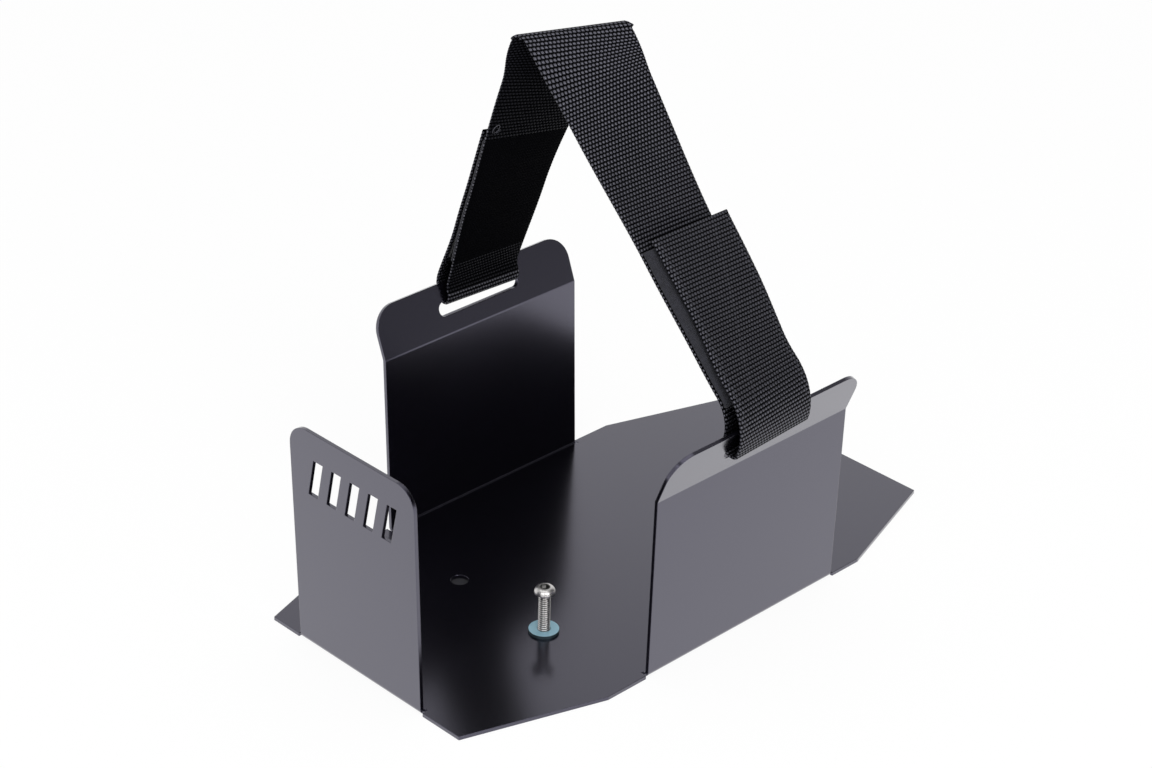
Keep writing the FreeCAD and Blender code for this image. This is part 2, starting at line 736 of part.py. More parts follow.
def buildTape(frames, name, kind):
    """The loop tape on the main length or the hook tape on the tab, between the two layers."""
    gap, half = size("sewn_gap"), size("web_thickness") / 2
    breadth = size(kind + "_width")
    leg = cutAt(legFrames(frames, name == "far"), size("tape_start"),
                size(name + "_tab_length") - size("tape_inset"))
    sections = []
    for centre, width, outward, run in leg:
        if kind == "loop":
            low = half + gap
            high = low + size("loop_thickness")
        else:
            high = tabSpacing(run, name) - half - gap
            low = high - size("hook_thickness")
            centre = tabCentre(centre, width, run, name)
        sections.append(section(centre, width, outward, breadth, low, high))
    return bandSolid(sections)


def addSolid(name, solid):
    feature = doc.addObject("Part::Feature", name)
    feature.Shape = solid
    feature.Label = name
    feature.Placement = FreeCAD.Placement()
    return feature


tray = buildTray()
screw = buildScrew()
washer = buildWasher()
doc.recompute()
frames = strapFrames()
parts = [tray, screw, washer, addSolid("strap_webbing", buildWebbing(frames))]
for name in ("near", "far"):
    for kind in ("loop", "hook"):
        parts.append(addSolid("%s_%s_tape" % (name, kind), buildTape(frames, name, kind)))
doc.recompute()

for item in doc.Objects:
    if "Invalid" in item.State or "Error" in item.State:
        raise RuntimeError("%s did not build: %s" % (item.Label, item.State))
    if item.isDerivedFrom("Sketcher::SketchObject") and not item.FullyConstrained:
        raise RuntimeError(item.Label + " has loose geometry")
for item in parts:
    if item.Shape.isNull() or not item.Shape.isValid() or len(item.Shape.Solids) != 1:
        raise RuntimeError(item.Label + " is not one valid solid")
for item in parts:
    item.Shape.exportStep("parts/%s.step" % item.Label)
    box = item.Shape.BoundBox
    print("%s volume %.0f, x %.1f to %.1f, y %.1f to %.1f, z %.1f to %.1f"
          % (item.Label, item.Shape.Volume, box.XMin, box.XMax, box.YMin, box.YMax, box.ZMin, box.ZMax))
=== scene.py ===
import math
import bmesh
import bpy
import numpy as np
from mathutils import Matrix


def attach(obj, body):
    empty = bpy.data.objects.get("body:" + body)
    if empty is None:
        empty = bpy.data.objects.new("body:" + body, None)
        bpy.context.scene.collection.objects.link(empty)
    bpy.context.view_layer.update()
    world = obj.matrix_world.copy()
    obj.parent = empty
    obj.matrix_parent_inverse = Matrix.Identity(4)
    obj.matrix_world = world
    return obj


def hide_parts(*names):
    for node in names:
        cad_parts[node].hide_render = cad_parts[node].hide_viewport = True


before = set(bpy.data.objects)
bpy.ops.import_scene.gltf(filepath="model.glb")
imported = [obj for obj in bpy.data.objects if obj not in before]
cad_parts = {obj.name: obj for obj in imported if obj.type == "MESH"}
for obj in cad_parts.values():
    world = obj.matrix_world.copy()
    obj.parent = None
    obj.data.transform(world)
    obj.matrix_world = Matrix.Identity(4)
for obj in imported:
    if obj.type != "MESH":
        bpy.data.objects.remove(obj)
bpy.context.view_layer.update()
mm = 0.001
print("frame loaded")


# camera, light and floor

view = {
    "place": (-0.940314, -0.904147, 0.832692),
    "forward": (0.620101, 0.614225, -0.488059),
    "rollDegrees": 1.743,
    "focalPixels": 2894.46,
    "imageWidth": 1152,
    "sensorWidth": 36,
    "farClip": 50,
}


def unit(v):
    v = np.asarray(v, float)
    return v / np.linalg.norm(v, axis=-1, keepdims=True)


def makeCamera():
    # the camera's axes are the image's right and up, turned by the roll about the line of sight
    forward = unit(view["forward"])
    right = unit(np.cross(forward, (0, 0, 1)))
    up = np.cross(right, forward)
    roll = math.radians(view["rollDegrees"])
    x = math.cos(roll) * right + math.sin(roll) * up
    y = -math.sin(roll) * right + math.cos(roll) * up
    data = bpy.data.cameras.new("camera")
    data.sensor_width = view["sensorWidth"]
    data.lens = view["focalPixels"] / view["imageWidth"] * view["sensorWidth"]
    data.clip_end = view["farClip"]
    camera = bpy.data.objects.new("camera", data)
    turn = np.eye(4)
    turn[:3, 0], turn[:3, 1], turn[:3, 2], turn[:3, 3] = x, y, -forward, view["place"]
    camera.matrix_world = Matrix(turn.tolist())
    bpy.context.collection.objects.link(camera)
    bpy.context.scene.camera = camera


lamps = {
    "overhead": {"place": (0.1, 0.1, 1.9), "aim": (0, 0, 0), "size": 1.8, "power": 7},
    "left": {"place": (-1.5, -0.5, 1.1), "aim": (0, 0, 0.1), "size": 1.2, "power": 8},
    "front": {"place": (-0.4, -1.7, 1.2), "aim": (0, 0, 0.1), "size": 1.2, "power": 14},
}
surround = {"strength": 0.62, "floorColour": 0.97, "floorWhiteness": 0.92, "floorSize": 14,
            "holePlace": (-0.0775, 0.03175, 0), "holeShade": 0.008, "shadeColour": (0.04, 0.04, 0.045, 1)}
room = {"bright": 0.82, "dark": 0.01, "ahead": (-0.25, 0.35), "fade": (0.45, 0.7), "fadeShare": 0.5,
        "above": (0.65, 0.9), "aboveSide": (0.6, 0.35), "left": (-0.1, -0.6), "aboveShare": 0.5,
        "horizon": (0.3, 0.05), "horizonShare": 0.35}


def makeLamps():
    for name, values in lamps.items():
        data = bpy.data.lights.new(name, "AREA")
        data.shape = "SQUARE"
        data.size = values["size"]
        data.energy = values["power"]
        lamp = bpy.data.objects.new(name, data)
        back = unit(np.subtract(values["place"], values["aim"]))
        side = unit(np.cross((0.02, 1, 0), back))
        turn = np.eye(4)
        turn[:3, 0], turn[:3, 1], turn[:3, 2] = side, np.cross(back, side), back
        turn[:3, 3] = values["place"]
        lamp.matrix_world = Matrix(turn.tolist())
        bpy.context.collection.objects.link(lamp)


def addNode(tree, kind, inputs=None, **settings):
    # one node, its settings, and its inputs given as values or as other nodes' outputs
    node = tree.nodes.new(kind)
    for key, value in settings.items():
        setattr(node, key, value)
    for key, value in (inputs or {}).items():
        if isinstance(value, bpy.types.NodeSocket):
            tree.links.new(value, node.inputs[key])
        else:
            node.inputs[key].default_value = value
    return node


def calc(tree, operation, a, b=0.0, c=0.0):
    node = addNode(tree, "ShaderNodeMath", {0: a, 1: b, 2: c}, operation=operation)
    return node.outputs[0]


def seenDirectly(tree):
    # 1 for camera, glossy and transmission rays, 0 for the rays that light the object
    path = addNode(tree, "ShaderNodeLightPath")
    some = calc(tree, "MAXIMUM", path.outputs["Is Camera Ray"], path.outputs["Is Glossy Ray"])
    return calc(tree, "MAXIMUM", some, path.outputs["Is Transmission Ray"])


def slope(tree, value, low, high):
    # 0 below the first value, 1 above the second, eased between
    return addNode(tree, "ShaderNodeMapRange", {"Value": value, 1: low, 2: high},
                   interpolation_type="SMOOTHSTEP").outputs[0]


def roomLevel(tree):
    # how bright reflections see the room: bright ahead, less so higher up, half as bright overhead and
    # on the left, dim near the horizon and dark behind the camera
    way = addNode(tree, "ShaderNodeSeparateXYZ", {0: addNode(tree, "ShaderNodeTexCoord").outputs["Generated"]})
    x, y, z = way.outputs
    fade = calc(tree, "SUBTRACT", 1.0, calc(tree, "MULTIPLY", slope(tree, z, *room["fade"]), room["fadeShare"]))
    ahead = calc(tree, "MULTIPLY", slope(tree, y, *room["ahead"]), fade)
    above = calc(tree, "MULTIPLY", slope(tree, z, *room["above"]), slope(tree, x, *room["aboveSide"]))
    above = calc(tree, "MAXIMUM", above, slope(tree, x, *room["left"]))
    above = calc(tree, "MULTIPLY", above, room["aboveShare"])
    horizon = calc(tree, "MULTIPLY", slope(tree, z, *room["horizon"]), room["horizonShare"])
    share = calc(tree, "MAXIMUM", calc(tree, "MAXIMUM", ahead, above), horizon)
    level = addNode(tree, "ShaderNodeMapRange", {"Value": share, 3: room["dark"], 4: room["bright"]})
    glossy = addNode(tree, "ShaderNodeLightPath").outputs["Is Glossy Ray"]
    missing = calc(tree, "SUBTRACT", 1.0, level.outputs[0])
    return calc(tree, "SUBTRACT", 1.0, calc(tree, "MULTIPLY", glossy, missing))


def makeSurround():
    world = bpy.data.worlds.new("surround")
    bpy.context.scene.world = world
    world.use_nodes = True
    tree = world.node_tree
    tree.nodes.clear()
    lighting = addNode(tree, "ShaderNodeBackground", {"Color": (1, 1, 1, 1), "Strength": surround["strength"]})
    white = addNode(tree, "ShaderNodeBackground", {"Color": (1, 1, 1, 1), "Strength": roomLevel(tree)})
    mix = addNode(tree, "ShaderNodeMixShader",
                  {0: seenDirectly(tree), 1: lighting.outputs[0], 2: white.outputs[0]})
    out = addNode(tree, "ShaderNodeOutputWorld")
    tree.links.new(mix.outputs[0], out.inputs["Surface"])

    half = surround["floorSize"] / 2
    mesh = bpy.data.meshes.new("floor")
    corners = [(-half, -half, 0), (half, -half, 0), (half, half, 0), (-half, half, 0)]
    mesh.from_pydata(corners, [], [(0, 1, 2, 3)])
    floor = bpy.data.objects.new("floor", mesh)
    bpy.context.collection.objects.link(floor)
    material = bpy.data.materials.new("paleFloor")
    material.use_nodes = True
    tree = material.node_tree
    tree.nodes.clear()
    level = surround["floorColour"]
    # the floor under the open hole lies in the sheet's shade, so it is dark there and isn't whitened
    place = addNode(tree, "ShaderNodeTexCoord").outputs["Object"]
    hole = addNode(tree, "ShaderNodeVectorMath", {0: place, 1: surround["holePlace"]}, operation="DISTANCE")
    lit = calc(tree, "GREATER_THAN", hole.outputs["Value"], surround["holeShade"])
    shade = addNode(tree, "ShaderNodeMix", {"A": surround["shadeColour"], "B": (level, level, level, 1)},
                    data_type="RGBA")
    tree.links.new(lit, shade.inputs["Factor"])
    paint = addNode(tree, "ShaderNodeBsdfDiffuse", {"Color": shade.outputs["Result"]})
    white = addNode(tree, "ShaderNodeEmission", {"Color": (1, 1, 1, 1), "Strength": 1.0})
    share = calc(tree, "MULTIPLY", calc(tree, "MULTIPLY", seenDirectly(tree), lit), surround["floorWhiteness"])
    mix = addNode(tree, "ShaderNodeMixShader", {0: share, 1: paint.outputs[0], 2: white.outputs[0]})
    out = addNode(tree, "ShaderNodeOutputMaterial")
    tree.links.new(mix.outputs[0], out.inputs["Surface"])
    mesh.materials.append(material)


makeCamera()
makeLamps()
makeSurround()
bpy.context.scene.view_settings.view_transform = "Standard"
print("camera, light and floor made")


# materials

# a noise texture's values lie mostly between these two
noiseLow, noiseHigh = 0.3, 0.7


def newMaterial(name):
    material = bpy.data.materials.new(name)
    material.use_nodes = True
    tree = material.node_tree
    tree.nodes.clear()
    shader = addNode(tree, "ShaderNodeBsdfPrincipled")
    out = addNode(tree, "ShaderNodeOutputMaterial")
    tree.links.new(shader.outputs[0], out.inputs["Surface"])
    return material, tree, shader


def setShader(shader, **values):
    for key, value in values.items():
        shader.inputs[key.replace("_", " ")].default_value = value


powderCoat = {"colour": (0.0018, 0.0016, 0.0028, 1), "roughness": 0.19, "spread": 0.025, "ior": 1.75,
              "tint": (0.60, 0.55, 1.0, 1), "topCoatIor": 1.6, "grainScale": 9.0, "grainDetail": 3.0,
              "peelSize": 0.0009, "peelDepth": 0.000006, "edgeRound": 0.0005}


def makePowderCoat():
    material, tree, shader = newMaterial("powderCoat")
    place = addNode(tree, "ShaderNodeTexCoord").outputs["Object"]
    peel = addNode(tree, "ShaderNodeTexNoise",
                   {"Vector": place, "Scale": 1 / powderCoat["peelSize"], "Detail": 2.0})
    grain = addNode(tree, "ShaderNodeTexNoise",
                    {"Vector": place, "Scale": powderCoat["grainScale"], "Detail": powderCoat["grainDetail"]})
    smoothest = powderCoat["roughness"] - powderCoat["spread"]
    roughest = powderCoat["roughness"] + powderCoat["spread"]
    rough = addNode(tree, "ShaderNodeMapRange",
                    {"Value": grain.outputs["Fac"], 1: noiseLow, 2: noiseHigh, 3: smoothest, 4: roughest})
    tree.links.new(rough.outputs[0], shader.inputs["Roughness"])
    edge = addNode(tree, "ShaderNodeBevel", {"Radius": powderCoat["edgeRound"]}, samples=4)
    bump = addNode(tree, "ShaderNodeBump", {"Height": peel.outputs["Fac"], "Normal": edge.outputs[0],
                                            "Strength": 1.0, "Distance": powderCoat["peelDepth"]})
    tree.links.new(bump.outputs[0], shader.inputs["Normal"])
    setShader(shader, Base_Color=powderCoat["colour"], IOR=powderCoat["ior"], Specular_Tint=powderCoat["tint"],
              Coat_Weight=1.0, Coat_IOR=powderCoat["topCoatIor"], Coat_Roughness=powderCoat["roughness"])
    tree.links.new(bump.outputs[0], shader.inputs["Coat Normal"])
    return material


weave = {"colour": (0.008, 0.008, 0.0105, 1), "gapShadeColour": (0.001, 0.001, 0.0012, 1), "ribPitch": 2.1,
         "beadPitch": 1.9, "beadHeight": 0.0005, "roughness": 0.42, "ior": 1.8, "tint": (0.84, 0.84, 1.0, 1),
         "shine": 1.0, "innerShadeShine": 0.06, "smoothStart": 20.0, "smoothEnd": 2.0, "alongPower": 0.7,
         "acrossPower": 0.45, "unevenScale": 90.0, "unevenShift": 0.25, "yarnScale": 2600.0, "yarnHeight": 0.12,
         "linePitch": 1.1, "lineHeight": 0.14, "pickPitch": 0.8, "pickHeight": 0.06, "liningLift": 0.35,
         "darkHeight": 0.35, "ribHeight": 0.16, "scallop": 0.2}


def beadPattern(tree, across, along, ribPitch, beadPitch):
    # a bead's height over its cell: half a wave along times half a wave across, every second row
    # moved by half a bead
    row = calc(tree, "DIVIDE", along, ribPitch)
    odd = calc(tree, "MULTIPLY", calc(tree, "MODULO", calc(tree, "FLOOR", row), 2.0), 0.5)
    cell = calc(tree, "ADD", calc(tree, "DIVIDE", across, beadPitch), odd)
    wave = calc(tree, "ABSOLUTE", calc(tree, "SINE", calc(tree, "MULTIPLY", row, math.pi)))
    wide = calc(tree, "ABSOLUTE", calc(tree, "SINE", calc(tree, "MULTIPLY", cell, math.pi)))
    return calc(tree, "MULTIPLY", calc(tree, "POWER", wave, weave["alongPower"]),
                calc(tree, "POWER", wide, weave["acrossPower"]))


stitch = {"colour": (0.045, 0.046, 0.055, 1), "strength": 0.75, "edge": 22.6, "swing": 1.3, "pitch": 4.2,
          "half": 0.24, "tailStart": 15.0, "tailSlope": -0.30, "tailSwing": 0.35, "tailPitch": 6.0,
          "tailHalf": 0.15, "tailStrength": 0.7, "start": 2.0, "end": 96.0}


def zigzag(tree, offset, along, swing, pitch, half):
    # 1 within half a thread of a line that swings to and fro as a triangle wave
    saw = calc(tree, "FRACT", calc(tree, "DIVIDE", along, pitch))
    wave = calc(tree, "SUBTRACT", calc(tree, "ABSOLUTE", calc(tree, "MULTIPLY_ADD", saw, 2.0, -1.0)), 0.5)
    apart = calc(tree, "ABSOLUTE", calc(tree, "SUBTRACT", offset, calc(tree, "MULTIPLY", wave, 2 * swing)))
    return slope(tree, apart, 1.6 * half, 0.5 * half)


def stitches(tree):
    # the tabs' sewn edges, and the faint loose line that crosses each tab on a slant
    tab = addNode(tree, "ShaderNodeSeparateXYZ", {0: addNode(tree, "ShaderNodeUVMap", uv_map="tab").outputs[0]})
    across, down = tab.outputs[0], tab.outputs[1]
    offset = calc(tree, "SUBTRACT", calc(tree, "ABSOLUTE", across), stitch["edge"])
    edge = zigzag(tree, offset, down, stitch["swing"], stitch["pitch"], stitch["half"])
    slant = calc(tree, "MULTIPLY_ADD", down, stitch["tailSlope"], stitch["tailStart"])
    tail = zigzag(tree, calc(tree, "SUBTRACT", across, slant), down, stitch["tailSwing"], stitch["tailPitch"],
                  stitch["tailHalf"])
    both = calc(tree, "MAXIMUM", edge, calc(tree, "MULTIPLY", tail, stitch["tailStrength"]))
    onTab = calc(tree, "MULTIPLY", calc(tree, "GREATER_THAN", down, stitch["start"]),
                 calc(tree, "LESS_THAN", down, stitch["end"]))
    return calc(tree, "MULTIPLY", calc(tree, "MULTIPLY", both, onTab), stitch["strength"])


def makeWebbing():
    material, tree, shader = newMaterial("blackWebbing")
    uv = addNode(tree, "ShaderNodeUVMap", uv_map="weave")
    parts = addNode(tree, "ShaderNodeSeparateXYZ", {0: uv.outputs[0]})
    sideMap = addNode(tree, "ShaderNodeUVMap", uv_map="side")
    side = addNode(tree, "ShaderNodeSeparateXYZ", {0: sideMap.outputs[0]})
    place = addNode(tree, "ShaderNodeTexCoord").outputs["Object"]
    uneven = addNode(tree, "ShaderNodeTexNoise", {"Vector": place, "Scale": weave["unevenScale"],
                                                   "Detail": 2.0})
    along = calc(tree, "ADD", parts.outputs[1], calc(tree, "MULTIPLY", uneven.outputs["Fac"],
                                                     weave["unevenShift"]))
    bead = beadPattern(tree, parts.outputs[0], along, weave["ribPitch"], weave["beadPitch"])
    yarn = addNode(tree, "ShaderNodeTexNoise", {"Vector": place, "Scale": weave["yarnScale"], "Detail": 2.0})
    coarse = calc(tree, "ADD", bead, calc(tree, "MULTIPLY", yarn.outputs["Fac"], weave["yarnHeight"]))
    # the sewn inner lining is a fine weave with lengthwise lines
    line = calc(tree, "MULTIPLY", parts.outputs[0], math.pi / weave["linePitch"])
    line = calc(tree, "ABSOLUTE", calc(tree, "SINE", line))
    pick = calc(tree, "MULTIPLY", along, math.pi / weave["pickPitch"])
    pick = calc(tree, "ABSOLUTE", calc(tree, "SINE", pick))
    fine = calc(tree, "ADD", calc(tree, "MULTIPLY", line, weave["lineHeight"]),
                calc(tree, "MULTIPLY", pick, weave["pickHeight"]))
    # the side layer's first value is 0 outside, 0.5 on the main length's inner face and 1 on its lining
    lining = addNode(tree, "ShaderNodeMapRange", {"Value": side.outputs[0], 1: 0.5, 2: 1.0}).outputs[0]
    inner = addNode(tree, "ShaderNodeMapRange", {"Value": side.outputs[0], 1: 0.0, 2: 0.5}).outputs[0]
    height = addNode(tree, "ShaderNodeMix",
                     {"Factor": lining, "A": coarse, "B": calc(tree, "ADD", fine, weave["liningLift"])})
    bump = addNode(tree, "ShaderNodeBump", {"Height": height.outputs[0], "Strength": 1.0,
                                            "Distance": weave["beadHeight"]})
    tree.links.new(bump.outputs[0], shader.inputs["Normal"])
    # painted shade: below darkHeight the colour fades from the beads' colour into a darker one in the gaps between them
    lit = addNode(tree, "ShaderNodeMapRange", {"Value": height.outputs[0], 1: weave["darkHeight"],
                                               2: 1.0}).outputs[0]
    shade = addNode(tree, "ShaderNodeMix", {"A": weave["gapShadeColour"], "B": weave["colour"]}, data_type="RGBA")
    tree.links.new(lit, shade.inputs["Factor"])
    sewn = addNode(tree, "ShaderNodeMix", {"A": (0, 0, 0, 1), "B": stitch["colour"]}, data_type="RGBA")
    tree.links.new(stitches(tree), sewn.inputs["Factor"])
    tree.links.new(shade.outputs["Result"], sewn.inputs["A"])
    tree.links.new(sewn.outputs["Result"], shader.inputs["Base Color"])
    # light is lost between the beads, so the reflection fades there with the square of the height; the main length's
    # inner face and its lining keep only a small share of it, painted shade since little light reaches them
    shine = addNode(tree, "ShaderNodeMapRange", {"Value": inner, 3: weave["shine"], 4: weave["innerShadeShine"]})
    tree.links.new(calc(tree, "MULTIPLY", calc(tree, "MULTIPLY", lit, lit), shine.outputs[0]),
                   shader.inputs["Specular IOR Level"])
    setShader(shader, Roughness=weave["roughness"], IOR=weave["ior"], Specular_Tint=weave["tint"])
    return material


fuzz = {"colour": (0.020, 0.021, 0.034, 1), "rootColour": (0.003, 0.003, 0.006, 1), "roughness": 0.85,
        "sheen": 0.08, "sheenRoughness": 0.6, "curlScale": 1500.0, "hazeScale": 350.0, "depth": 0.0005}


def makeLoopTape():
    material, tree, shader = newMaterial("loopPile")
    place = addNode(tree, "ShaderNodeTexCoord").outputs["Object"]
    curl = addNode(tree, "ShaderNodeTexVoronoi", {"Vector": place, "Scale": fuzz["curlScale"]}, distance="EUCLIDEAN")
    haze = addNode(tree, "ShaderNodeTexNoise", {"Vector": place, "Scale": fuzz["hazeScale"], "Detail": 4.0})
    height = calc(tree, "ADD", curl.outputs["Distance"], haze.outputs["Fac"])
    bump = addNode(tree, "ShaderNodeBump", {"Height": height, "Strength": 1.0, "Distance": fuzz["depth"]})
    tree.links.new(bump.outputs[0], shader.inputs["Normal"])
    shade = addNode(tree, "ShaderNodeMix", {"A": fuzz["rootColour"], "B": fuzz["colour"]}, data_type="RGBA")
    tree.links.new(haze.outputs["Fac"], shade.inputs["Factor"])
    tree.links.new(shade.outputs["Result"], shader.inputs["Base Color"])
    setShader(shader, Roughness=fuzz["roughness"], Sheen_Weight=fuzz["sheen"],
              Sheen_Roughness=fuzz["sheenRoughness"])
    return material


hooks = {"colour": (0.010, 0.010, 0.011, 1), "roughness": 0.55, "rowPitch": 1.4, "hookPitch": 1.2, "height": 0.0004}


def makeHookTape():
    material, tree, shader = newMaterial("hookTape")
    uv = addNode(tree, "ShaderNodeUVMap", uv_map="weave")
    parts = addNode(tree, "ShaderNodeSeparateXYZ", {0: uv.outputs[0]})
    bead = beadPattern(tree, parts.outputs[0], parts.outputs[1], hooks["rowPitch"], hooks["hookPitch"])
    bump = addNode(tree, "ShaderNodeBump", {"Height": bead, "Strength": 1.0, "Distance": hooks["height"]})
    tree.links.new(bump.outputs[0], shader.inputs["Normal"])
    setShader(shader, Base_Color=hooks["colour"], Roughness=hooks["roughness"])
    return material


yarns = {"colour": (0.06, 0.06, 0.075, 1), "roughness": 0.5, "twistScale": 900.0, "twistDepth": 0.00005}


def makeThread():
    material, tree, shader = newMaterial("sewingThread")
    place = addNode(tree, "ShaderNodeTexCoord").outputs["Object"]
    twist = addNode(tree, "ShaderNodeTexWave", {"Vector": place, "Scale": yarns["twistScale"], "Distortion": 1.0})
    bump = addNode(tree, "ShaderNodeBump", {"Height": twist.outputs["Fac"], "Strength": 0.5,
                                            "Distance": yarns["twistDepth"]})
    tree.links.new(bump.outputs[0], shader.inputs["Normal"])
    setShader(shader, Base_Color=yarns["colour"], Roughness=yarns["roughness"])
    return material


screw = {"x": -77.5, "y": -31.75, "shankRadius": 3.175, "threadPitch": 1.27, "threadDepth": 0.7, "length": 25.4,
         "headRadius": 5.55, "headHeight": 3.35, "topRadius": 2.7, "rim": 0.5, "socketWidth": 3.97, "socketDepth": 2.0,
         "tipChamfer": 0.7, "sides": 72}


def axisDistance(tree, place):
    # the distance from the screw's axis
    flat = addNode(tree, "ShaderNodeVectorMath", {0: place, 1: (1, 1, 0)}, operation="MULTIPLY")
    centre = (screw["x"] * mm, screw["y"] * mm, 0)
    apart = addNode(tree, "ShaderNodeVectorMath", {0: flat.outputs[0], 1: centre}, operation="DISTANCE")
    return apart.outputs["Value"]


metalFinishAndShade = {"smoother": 0.06, "rougher": 0.08, "edgeRound": 0.00012, "grainDepth": 0.00003, "paintedShadeShare": 0.10}


def makeMetal(name, colour, roughness, grainScale, grain, shaded, metallic):
    # shaded is the distance from the screw's axis, in mm, where the painted shade is darkest and where it has faded to
    # the metal's own colour; it darkens the screw's socket and thread roots near the axis, and the washer's rim
    material, tree, shader = newMaterial(name)
    place = addNode(tree, "ShaderNodeTexCoord").outputs["Object"]
    noise = addNode(tree, "ShaderNodeTexNoise", {"Vector": place, "Scale": grainScale, "Detail": 4.0})
    rough = addNode(tree, "ShaderNodeMapRange", {"Value": noise.outputs["Fac"], 1: noiseLow, 2: noiseHigh,
                                                 3: roughness - metalFinishAndShade["smoother"],
                                                 4: roughness + metalFinishAndShade["rougher"]})
    tree.links.new(rough.outputs[0], shader.inputs["Roughness"])
    edge = addNode(tree, "ShaderNodeBevel", {"Radius": metalFinishAndShade["edgeRound"]}, samples=4)
    bump = addNode(tree, "ShaderNodeBump", {"Height": noise.outputs["Fac"], "Normal": edge.outputs[0],
                                            "Strength": grain, "Distance": metalFinishAndShade["grainDepth"]})
    tree.links.new(bump.outputs[0], shader.inputs["Normal"])
    # painted shade: the colour falls to a tenth of the metal's own in the socket, the thread roots and at the washer's
    # rim
    dark = tuple(metalFinishAndShade["paintedShadeShare"] * part for part in colour[:3]) + (1,)
    mix = addNode(tree, "ShaderNodeMix", {"A": dark, "B": colour}, data_type="RGBA")
    tree.links.new(slope(tree, axisDistance(tree, place), shaded[0] * mm, shaded[1] * mm), mix.inputs["Factor"])
    tree.links.new(mix.outputs["Result"], shader.inputs["Base Color"])
    setShader(shader, Metallic=metallic)
    return material


materials = {
    "powderCoat": makePowderCoat(),
    "webbing": makeWebbing(),
    "loop": makeLoopTape(),
    "hook": makeHookTape(),
    "thread": makeThread(),
    "stainless": makeMetal("stainlessSteel", (0.78, 0.76, 0.75, 1), 0.30, 900.0, 0.4, (2.45, 3.05), 1.0),
    "zinc": makeMetal("blueZinc", (0.40, 0.66, 0.78, 1), 0.40, 500.0, 0.5, (7.95, 7.75), 0.5),
}
print("materials made")


# mesh tools

def newPiece(name, points, faces, material, uv=None):
    # an object at the origin whose mesh holds its place; uv maps a layer's name to one pair for each point
    mesh = bpy.data.meshes.new(name)
    mesh.from_pydata(np.asarray(points).tolist(), [], faces)
    mesh.polygons.foreach_set("use_smooth", np.full(len(mesh.polygons), True))
    corner = np.zeros(len(mesh.loops), dtype=np.int32)
    mesh.loops.foreach_get("vertex_index", corner)
    for layerName, pairs in (uv or {}).items():
        layer = mesh.uv_layers.new(name=layerName)
        layer.data.foreach_set("uv", np.asarray(pairs, dtype=np.float32)[corner].ravel())
    mesh.materials.append(material)
    mesh.update()
    piece = bpy.data.objects.new(name, mesh)
    bpy.context.collection.objects.link(piece)
    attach(piece, "root")
    return piece


def tubeFaces(rows, columns, flip=False):
    # quads between following rows of closed rings
    row, column = np.meshgrid(np.arange(rows - 1), np.arange(columns), indexing="ij")
    following = (column + 1) % columns
    a, b = row * columns + column, row * columns + following
    c, d = (row + 1) * columns + following, (row + 1) * columns + column
    quads = np.stack([a, b, c, d] if not flip else [a, d, c, b], axis=-1).reshape(-1, 4)
    return quads.tolist()


def capFaces(rows, columns, flip=False):
    first = list(range(columns))
    last = [(rows - 1) * columns + i for i in range(columns)]
    return [last, first[::-1]] if not flip else [last[::-1], first]


# strap

tray = {"sideWidth": 190.0, "sheet": 2.0, "flapHeight": 103.0, "flangeLength": 27.5, "flangeAngle": 21.0,
        "slotHeight": 8.0, "lean": {"near": 0.6, "far": 2.3}}
strap = {"width": 50.8, "thickness": 1.5, "step": 0.35,
         "bendRadius": {"near": 21.6, "far": 10.4}, "foldRadius": 5.0, "lean": {"near": 42.85, "far": 16.7}, "bow": 7.0,
         "shift": {"near": 3.6, "far": 2.2, "top": 2.6}, "topShiftRun": 60.0, "slant": {"near": 5.2, "far": -2.1},
         "slantRun": 55.0, "levelRun": 46.6, "tabRun": 96.0, "tabTwist": -3.0, "nearTopTwist": -26.0,
         "farTopTwist": 23.3, "farLowTwist": 6.0, "farLowRun": 60.0,
         "foldYaw": -42.0, "foldPitch": 8.5, "foldBlend": 38.5, "foldStraight": 6.0, "foldStretch": 1.14,
         "cornerTuck": 0.05, "cornerRun": 3.5}
loops = {"halfWidth": {"near": 5.3, "far": 4.2}, "strip": 1.0, "rise": {"near": -1.0, "far": 2.2},
         "low": {"near": 4.25, "far": 2.75}}
tabs = {"length": {"near": 107.0, "far": 103.0}, "slip": {"near": 6.1, "far": 1.2}, "slipRun": 73.0,
        "settleRun": 40.0, "loopWidth": 49.5, "loopThickness": 2.0, "hookWidth": 48.0, "hookThickness": 1.5,
        "gap": 0.1, "tapeStart": 20.0, "tapeInset": 3.0}


def ease(value):
    value = np.clip(value, 0, 1)
    return value * value * (3 - 2 * value)


def slotRoof(end):
    # the middle of the sheet at the slot's upper edge, as (y, z)
    side = -1 if end == "near" else 1
    turn, lean = math.radians(tray["flangeAngle"]), math.radians(tray["lean"][end])
    along, half = (tray["flangeLength"] + tray["slotHeight"]) / 2, tray["sheet"] / 2
    bend = tray["sideWidth"] / 2 + tray["flapHeight"] * math.tan(lean)
    out = bend + along * math.sin(turn) - half * math.cos(turn)
    return side * out, tray["flapHeight"] + along * math.cos(turn) + half * math.sin(turn)


def walk(start, angle, pieces):
    # y, z, angle from upright and run at even steps along straight and curved pieces
    counts = [max(2, round(length / strap["step"])) for length, turn in pieces]
    step = np.concatenate([np.full(n, length / n) for (length, turn), n in zip(pieces, counts)])
    bit = np.concatenate([np.full(n, turn / n) for (length, turn), n in zip(pieces, counts)])
    heading = angle + np.cumsum(bit) - bit / 2
    chord = step * np.sinc(bit / 2 / math.pi)
    y = np.concatenate([[start[0]], start[0] + np.cumsum(chord * np.sin(heading))])
    z = np.concatenate([[start[1]], start[1] + np.cumsum(chord * np.cos(heading))])
    return y, z, np.concatenate([[angle], angle + np.cumsum(bit)]), np.concatenate([[0], np.cumsum(step)])


